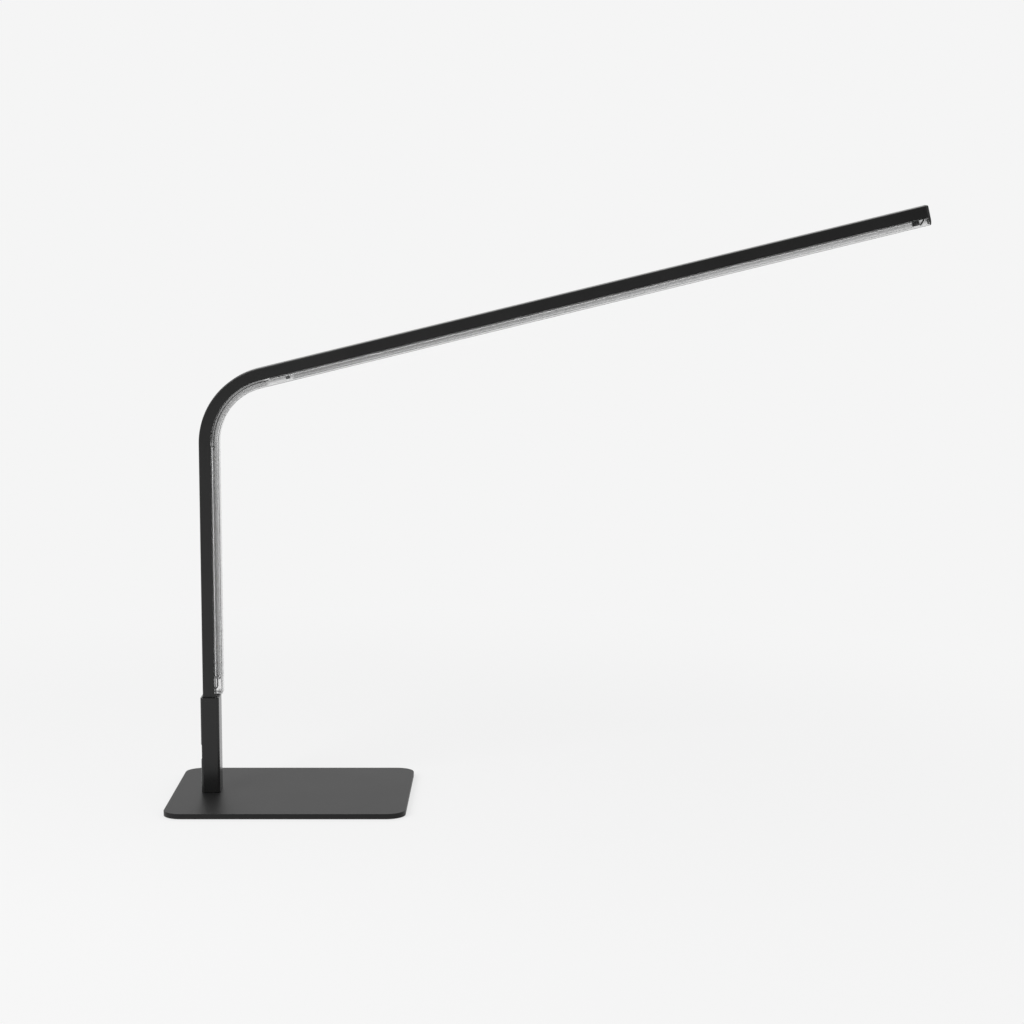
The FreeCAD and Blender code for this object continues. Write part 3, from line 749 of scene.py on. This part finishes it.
def makeTipCap():
    shape = capShape
    profile = [(0, runEnd), (coverOut, runEnd), (coverOut, runEnd + shape["chinLength"]),
               (coverOut - shape["chinRise"], tipZ - shape["slant"]), (0, tipZ)]
    bm = bmesh.new()
    corners = outlineFace(bm, [armPoint(out, -halfDepth, height) for out, height in profile])
    rounds = (shape["chinRound"], shape["crownRound"], channelShape["backRound"])
    for corner, radius in zip(corners[2:], rounds):
        roundCorners(bm, [corner], radius, shape["roundSegments"])
    pushFaces(bm, list(bm.faces), Vector((0, 2 * halfDepth, 0)))
    rims = [edge for edge in bm.edges if max(vert.co.z for vert in edge.verts) > runEnd + tiny
            and abs(edge.verts[0].co.y - edge.verts[1].co.y) < tiny]
    softenEdges(bm, rims, shape["rimRound"], shape["roundSegments"])
    gap = shape["spigotGap"]
    side = halfDepth - channelShape["sideWall"] - gap
    addBox(bm, armPoint(channelShape["wall"] + gap, -side, runEnd - shape["spigot"]),
           armPoint(deckOut - channelShape["deck"] - gap, side, runEnd))
    turnOntoSlope(bm)
    makePiece("tipCap", bm, "arm", [blackPlastic], "tip_cap")


makeArmChannel()
makeLightCover()
makeCoverEndPlug()
makeTipCap()
print("arm made")


# Light boards, their chips, the films over them and what joins them

boardShape = dict(thickness=0.001, width=0.0159, seatGap=0.00005, toTip=0.0182,
                  cornerRound=0.0006, cornerSegments=4, padLength=0.0022, padWidth=0.0026,
                  padInset=0.0016, padSpacing=0.0046, padHeight=0.00006)
upperConnectorShape = dict(windows=4, fromBoard=0.016, length=0.0036, height=0.0032, width=0.008)

lowerLow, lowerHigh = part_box("lower_light_board")
lowerSpan = (lowerLow.z, lowerHigh.z)
upperSpan = (bendZ + coverShape["boardFromBend"], tipZ - boardShape["toTip"])
boardSeat = deckOut + coverShape["foot"] + boardShape["seatGap"]
boardTop = boardSeat + boardShape["thickness"]
upperPlugStart = upperSpan[0] + upperConnectorShape["fromBoard"]
upperPlugEnd = upperPlugStart + upperConnectorShape["length"]


def makeLightBoard(name, node, span, onSlope):
    # White board with rounded corners, and bare solder pads at both ends
    shape = boardShape
    start, end = span
    half = shape["width"] / 2
    bm = bmesh.new()
    plan = [(-half, start), (half, start), (half, end), (-half, end)]
    corners = outlineFace(bm, [armPoint(boardSeat, across, height) for across, height in plan])
    roundCorners(bm, corners, shape["cornerRound"], shape["cornerSegments"])
    pushFaces(bm, list(bm.faces), Vector((shape["thickness"], 0, 0)))
    size = Vector((shape["padHeight"], shape["padWidth"], shape["padLength"]))
    for middle in (start + shape["padInset"], end - shape["padInset"]):
        for across in (-shape["padSpacing"] / 2, shape["padSpacing"] / 2):
            low = armPoint(boardTop, across - size.y / 2, middle - size.z / 2)
            addPart(bm, low, low + size, finish=1)
    if onSlope:
        turnOntoSlope(bm)
    makePiece(name, bm, "arm", [boardWhite, solderTin], node)


chipShape = dict(pitch=0.0166, margin=0.006, length=0.0028, width=0.0035, height=0.0008,
                 rim=0.0004, sunk=0.00012, tabLength=0.0004, tabWidth=0.0022, tabHeight=0.0002)


def addChip(bm, middle):
    # One light chip: a white package round a phosphor window, with a solder tab at each end
    shape = chipShape
    half = Vector((0, shape["width"] / 2, shape["length"] / 2 - shape["tabLength"]))
    start = armPoint(boardTop, 0, middle)
    package = addBox(bm, start - half, start + half + Vector((shape["height"], 0, 0)))
    window = max(facesAtVerts(package), key=lambda face: face.calc_center_median().x)
    bmesh.ops.inset_region(bm, faces=[window], thickness=shape["rim"], depth=-shape["sunk"])
    window.material_index = 1
    size = Vector((shape["tabHeight"], shape["tabWidth"], shape["tabLength"]))
    for side in (-1, 1):
        outer = middle + side * (half.z + size.z / 2)
        low = armPoint(boardTop, -size.y / 2, outer - size.z / 2)
        addPart(bm, low, low + size, finish=2)


def makeChipRow(name, node, span, onSlope):
    shape = chipShape
    start, end = span
    count = int((end - start - 2 * shape["margin"]) / shape["pitch"]) + 1
    first = (start + end) / 2 - (count - 1) * shape["pitch"] / 2
    bm = bmesh.new()
    for index in range(count):
        addChip(bm, first + index * shape["pitch"])
    if onSlope:
        turnOntoSlope(bm)
    makePiece(name, bm, "arm", [palePlastic, phosphor, solderTin], node)
    print(name, "has", count, "chips")


housingShape = dict(edge=0.0003, edgeSegments=3, windowRim=0.0006, windowSunk=0.0005)


def addHousing(bm, low, high, windows):
    # Moulded housing with soft edges and a row of contact windows in its outer face
    shape = housingShape
    outer = max(facesAtVerts(addBox(bm, low, high)), key=lambda face: face.calc_center_median().x)
    across = [edge for edge in outer.edges
              if abs(edge.verts[0].co.z - edge.verts[1].co.z) < tiny]
    bmesh.ops.subdivide_edges(bm, edges=across, cuts=windows - 1, use_grid_fill=True)
    top = [face for face in bm.faces if all(abs(vert.co.x - high.x) < tiny for vert in face.verts)]
    bmesh.ops.inset_individual(bm, faces=top, thickness=shape["windowRim"],
                               depth=-shape["windowSunk"])
    for face in top:
        face.material_index = 1
    rims = edgesBetween(bm, lambda co: co.x > high.x - tiny and abs(abs(co.y) - high.y) < tiny)
    softenEdges(bm, rims, shape["edge"], shape["edgeSegments"])


lowerConnectorShape = dict(windows=2)


def makeLowerConnector():
    low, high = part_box("lower_connector")
    bm = bmesh.new()
    addHousing(bm, low, high, lowerConnectorShape["windows"])
    makePiece("lowerConnector", bm, "arm", [palePlastic, blackPlastic],
              "lower_connector")


def makeUpperConnector():
    # Plug on the upper board, at the far end of the ribbon
    shape = upperConnectorShape
    half = shape["width"] / 2
    bm = bmesh.new()
    addHousing(bm, armPoint(boardTop, -half, upperPlugStart),
               armPoint(boardTop + shape["height"], half, upperPlugEnd), shape["windows"])
    turnOntoSlope(bm)
    makePiece("upperConnector", bm, "arm", [plugGray, plugGray], "upper_connector")


filmShape = dict(thickness=0.0004, gap=0.00005, pastBend=0.0054, fromBend=0.0312, endGap=0.0004)


def filmSection(start):
    # U-section that lines the cover's legs and outer wall
    shape = filmShape
    side = halfDepth - coverShape["wall"] - shape["gap"]
    outer = coverOut - coverShape["faceWall"] - shape["gap"]
    foot = boardTop + shape["gap"]
    inner = side - shape["thickness"]
    bm = bmesh.new()
    outlineFace(bm, mirroredOutline([(outer - shape["thickness"], inner), (foot, inner),
                                     (foot, side), (outer, side)], start))
    return bm


def makeLowerDiffuser():
    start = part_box("lower_diffuser")[0].z
    bm = filmSection(start)
    sweepUpArm(bm, start, bendZ + filmShape["pastBend"])
    makePiece("lowerDiffuser", bm, "arm", [diffuserFilm], "lower_diffuser")


def makeUpperDiffuser():
    start = bendZ + filmShape["fromBend"]
    bm = filmSection(start)
    pushFaces(bm, list(bm.faces), Vector((0, 0, sensorStart - filmShape["endGap"] - start)))
    turnOntoSlope(bm)
    makePiece("upperDiffuser", bm, "arm", [diffuserFilm], "upper_diffuser")


leadShape = dict(coreRadius=0.00055, bend=0.0024, sides=14, bendSteps=8)


def makeSupplyLead():
    # Two cores side by side: up the wire way, out of the window and into the lower connector
    shape = leadShape
    low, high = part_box("supply_lead")
    radius = shape["coreRadius"]
    inside = low.x + radius
    outside = high.x - radius
    windowFoot = coverFoot + channelShape["windowRise"]
    first = Vector((inside, 0, windowFoot + radius))
    second = Vector((outside, 0, windowFoot + channelShape["windowLength"] - radius))
    lean = (second - first).angle(Vector((0, 0, 1)))
    reach = shape["bend"] * math.tan(lean / 2)
    run = (second - first).normalized()
    bm = bmesh.new()
    for across in (low.y + radius, high.y - radius):
        disc = bmesh.ops.create_circle(bm, cap_ends=True, segments=shape["sides"], radius=radius,
                                       matrix=Matrix.Translation((inside, across, low.z)))
        ends = facesAtVerts(disc["verts"])
        ends = pushFaces(bm, ends, Vector((0, 0, first.z - reach - low.z)))
        centre = Vector((inside + shape["bend"], across, first.z - reach))
        ends = spinFaces(bm, ends, centre, lean, shape["bendSteps"])
        ends = pushFaces(bm, ends, run * ((second - first).length - 2 * reach))
        centre = Vector((outside - shape["bend"], across, second.z + reach))
        ends = spinFaces(bm, ends, centre, -lean, shape["bendSteps"])
        pushFaces(bm, ends, Vector((0, 0, high.z - second.z - reach)))
    makePiece("supplyLead", bm, "arm", [leadSheath], "supply_lead")


ribbonShape = dict(width=0.005, thickness=0.0006, cores=4, valley=0.00025, overBoard=0.004)


def makeJumperRibbon():
    # Flat ribbon of cores from board to board, round the bend
    shape = ribbonShape
    start = lowerHigh.z - shape["overBoard"]
    half = shape["width"] / 2
    pitch = shape["width"] / shape["cores"]
    valley = boardTop + shape["valley"]
    crest = boardTop + shape["thickness"]
    outline = [(boardTop, -half)]
    for core in range(shape["cores"]):
        near = -half + core * pitch
        outline += [(valley, near), (crest, near + pitch / 4), (crest, near + pitch * 3 / 4)]
    outline += [(valley, half), (boardTop, half)]
    bm = bmesh.new()
    outlineFace(bm, [armPoint(out, across, start) for out, across in outline])
    sweepUpArm(bm, start, upperPlugStart)
    makePiece("jumperRibbon", bm, "arm", [ribbonSheath], "jumper_ribbon")


# Touch sensor and pilot light beside the cap

sensorBoardShape = dict(thickness=0.001, gap=0.0004)
sensorConnectorShape = dict(length=0.0067, height=0.0046, width=0.008, pins=4, pinSize=0.0005)
sensorStart = upperSpan[1] + sensorBoardShape["gap"]
sensorTop = deckOut + sensorBoardShape["thickness"]
sensorPlugEnd = sensorStart + sensorConnectorShape["length"]


def makeSensorConnector():
    shape = sensorConnectorShape
    half = shape["width"] / 2
    size = shape["pinSize"]
    bm = bmesh.new()
    addHousing(bm, armPoint(sensorTop, -half, sensorStart),
               armPoint(sensorTop + shape["height"], half, sensorPlugEnd), shape["pins"])
    for index in range(shape["pins"]):
        across = -half + shape["width"] * (index + 0.5) / shape["pins"]
        low = armPoint(sensorTop, across - size / 2, sensorPlugEnd)
        addPart(bm, low, low + Vector((size, size, size)), finish=2)
    turnOntoSlope(bm)
    makePiece("sensorConnector", bm, "arm", [blackPlastic, boardDark, solderTin],
              "sensor_connector")


contactShape = dict(length=0.0057, width=0.0032, stock=0.0013, gap=0.0004, clearance=0.0003,
                    bendRound=0.0004, bendSegments=4)


def makeTouchContact():
    # Leaning spring blade whose tip faces the cover's outer wall
    shape = contactShape
    stock = shape["stock"]
    tip = coverOut - coverShape["faceWall"] - shape["clearance"]
    start = sensorPlugEnd + shape["gap"]
    end = start + shape["length"]
    outline = [(sensorTop, end), (tip, start + stock), (tip, start), (tip - stock / 2, start),
               (sensorTop, end - stock)]
    bm = bmesh.new()
    near = -shape["width"] / 2
    corners = outlineFace(bm, [armPoint(out, near, height) for out, height in outline])
    roundCorners(bm, corners[1:3], shape["bendRound"], shape["bendSegments"])
    pushFaces(bm, list(bm.faces), Vector((0, shape["width"], 0)))
    turnOntoSlope(bm)
    makePiece("touchContact", bm, "arm", [contactBlack], "touch_contact")


pilotShape = dict(radius=0.0009, height=0.0026, back=0.0014, rim=0.0002, flangeShare=0.3,
                  domeSteps=6, spinSteps=28)


def makePilotLight():
    # Small round lamp: a flanged body with a domed lens
    shape = pilotShape
    radius = shape["radius"]
    dome = radius - shape["rim"]
    shoulder = shape["height"] - dome
    flange = shape["height"] * shape["flangeShare"]
    profile = [(0, 0), (radius, 0), (radius, flange), (dome, flange), (dome, shoulder)]
    for step in range(1, shape["domeSteps"] + 1):
        angle = quarterTurn * step / shape["domeSteps"]
        profile.append((dome * math.cos(angle), shoulder + dome * math.sin(angle)))
    base = armPoint(sensorTop, 0, runEnd - shape["back"])
    bm = bmesh.new()
    verts = [bm.verts.new(base + Vector((out, across, 0))) for across, out in profile]
    edges = [bm.edges.new(pair) for pair in zip(verts, verts[1:])]
    bmesh.ops.spin(bm, geom=verts + edges, cent=base, axis=(1, 0, 0), dvec=(0, 0, 0),
                   angle=4 * quarterTurn, steps=shape["spinSteps"], use_merge=True,
                   use_duplicate=False)
    bmesh.ops.remove_doubles(bm, verts=list(bm.verts), dist=tiny)
    turnOntoSlope(bm)
    makePiece("pilotLight", bm, "arm", [pilotClear], "pilot_light")


makeLightBoard("lowerLightBoard", "lower_light_board", lowerSpan, False)
makeLightBoard("upperLightBoard", "upper_light_board", upperSpan, True)
makeChipRow("lowerLightChips", "lower_light_chips", lowerSpan, False)
makeChipRow("upperLightChips", "upper_light_chips", (upperPlugEnd, upperSpan[1]), True)
makeLowerConnector()
makeUpperConnector()
makeLowerDiffuser()
makeUpperDiffuser()
makeSupplyLead()
makeJumperRibbon()
makeSensorConnector()
makeTouchContact()
makePilotLight()
print("lights and sensor made")


# Carried-over nodes get their finishes by the record's slots

carriedOver = dict(
    bush_plastic=blackPlastic, spring_steel=springSteel, screw_steel=springSteel,
    plug_aluminium=plugAluminium, liner_plastic=blackPlastic, contact_brass=contactBrass,
    driver_board_green=boardGreen, ferrite=ferriteGray, chip_black=blackPlastic,
    capacitor_tan=capacitorTan, sensor_board_dark=boardDark)

for subpart in frame["record"]["subparts"]:
    node = nodes[subpart["node"]]
    if not node.hide_render:
        node.data.materials.clear()
        node.data.materials.append(carriedOver[subpart["material_slot"]])
print("carried-over nodes dressed")


# Floor, light and camera

background = 0.913  # linear level of the pale surroundings
worldLevel = 0.75  # soft light from all around


def paleRays(owner):
    # 1 for the rays that see the surroundings: camera, glossy and transmission
    path = addNode(owner, "ShaderNodeLightPath")
    total = path.outputs["Is Camera Ray"]
    for name in ("Is Glossy Ray", "Is Transmission Ray"):
        either = addNode(owner, "ShaderNodeMath", operation="MAXIMUM")
        link(owner, total, either.inputs[0])
        link(owner, path.outputs[name], either.inputs[1])
        total = either.outputs[0]
    return total


def mixShaders(owner, factor, first, second, target):
    mix = addNode(owner, "ShaderNodeMixShader")
    for place, output in enumerate((factor, first, second)):
        link(owner, output, mix.inputs[place])
    link(owner, mix.outputs["Shader"], target)


def makeWorld():
    world = bpy.data.worlds.new("studio")
    world.use_nodes = True
    plain = world.node_tree.nodes["Background"]
    plain.inputs["Color"].default_value = opaque(gray(1))
    plain.inputs["Strength"].default_value = worldLevel
    pale = addNode(world, "ShaderNodeBackground", Color=opaque(gray(background)))
    mixShaders(world, paleRays(world), plain.outputs["Background"], pale.outputs["Background"],
               world.node_tree.nodes["World Output"].inputs["Surface"])
    bpy.context.scene.world = world


floorLook = dict(size=60.0, tone=0.86, fadeStart=0.35, fadeEnd=1.1, shadowShare=0.25)


def makeFloor():
    # Takes the lamp's shadow near it and fades into the surroundings further out
    look = floorLook
    material, matte = newMaterial("floorPale", gray(look["tone"]), roughness=1.0,
                                  **{"Specular IOR Level": 0.0})
    glow = addNode(material, "ShaderNodeEmission", Color=opaque(gray(background)))
    reach = addNode(material, "ShaderNodeVectorMath", operation="LENGTH")
    link(material, surfacePoint(material), reach.inputs[0])
    fade = addNode(material, "ShaderNodeMapRange", interpolation_type="SMOOTHSTEP", **{
        "From Min": look["fadeStart"], "From Max": look["fadeEnd"],
        "To Min": 1 - look["shadowShare"]})
    link(material, reach.outputs["Value"], fade.inputs["Value"])
    share = addNode(material, "ShaderNodeMath", operation="MULTIPLY")
    link(material, fade.outputs["Result"], share.inputs[0])
    link(material, paleRays(material), share.inputs[1])
    mixShaders(material, share.outputs[0], matte.outputs["BSDF"], glow.outputs["Emission"],
               material.node_tree.nodes["Material Output"].inputs["Surface"])
    bm = bmesh.new()
    bmesh.ops.create_grid(bm, x_segments=1, y_segments=1, size=look["size"] / 2)
    floor = looseObject("floor", bm)
    floor.data.materials.append(material)


flagLook = dict(behind=3.4, halfWidth=4.0, height=3.0, tone=0.08)


def makeFlag():
    # Dark card behind the camera that only the gloss of the pieces sees
    look = flagLook
    material, shader = newMaterial("flagDark", gray(look["tone"]), roughness=1.0)
    material.node_tree.nodes.remove(shader)
    dark = addNode(material, "ShaderNodeEmission", Color=opaque(gray(look["tone"])))
    link(material, dark.outputs["Emission"],
         material.node_tree.nodes["Material Output"].inputs["Surface"])
    half = look["halfWidth"]
    bm = bmesh.new()
    corners = [(-half, 0), (half, 0), (half, look["height"]), (-half, look["height"])]
    outlineFace(bm, [Vector((x, -look["behind"], z)) for x, z in corners])
    card = looseObject("flag", bm)
    card.data.materials.append(material)
    card.visible_camera = False
    card.visible_diffuse = False
    card.visible_transmission = False
    card.visible_shadow = False


keyLook = dict(power=48.0, size=1.6, place=(-1.6, -1.9, 1.7), aim=(0.1, 0, 0.2))


def makeKeyLight():
    data = bpy.data.lights.new("key", "AREA")
    data.shape = "DISK"
    data.size = keyLook["size"]
    data.energy = keyLook["power"]
    lamp = bpy.data.objects.new("key", data)
    lamp.location = keyLook["place"]
    aim = Vector(keyLook["aim"]) - lamp.location
    lamp.rotation_euler = aim.to_track_quat("-Z", "Y").to_euler()
    bpy.context.scene.collection.objects.link(lamp)


cameraSet = dict(place=(0.24915, -2.6413, 0.63062), pitch=7.582, lens=97.386, sensor=36.0,
                 shiftX=-0.03516)


def makeCamera():
    data = bpy.data.cameras.new("camera")
    data.lens = cameraSet["lens"]
    data.sensor_width = cameraSet["sensor"]
    data.shift_x = cameraSet["shiftX"]
    camera = bpy.data.objects.new("camera", data)
    camera.location = cameraSet["place"]
    camera.rotation_euler = (math.radians(90 - cameraSet["pitch"]), 0, 0)
    bpy.context.scene.collection.objects.link(camera)
    bpy.context.scene.camera = camera


makeWorld()
makeFloor()
makeFlag()
makeKeyLight()
makeCamera()
bpy.context.scene.view_settings.view_transform = "Standard"
print("stage made")
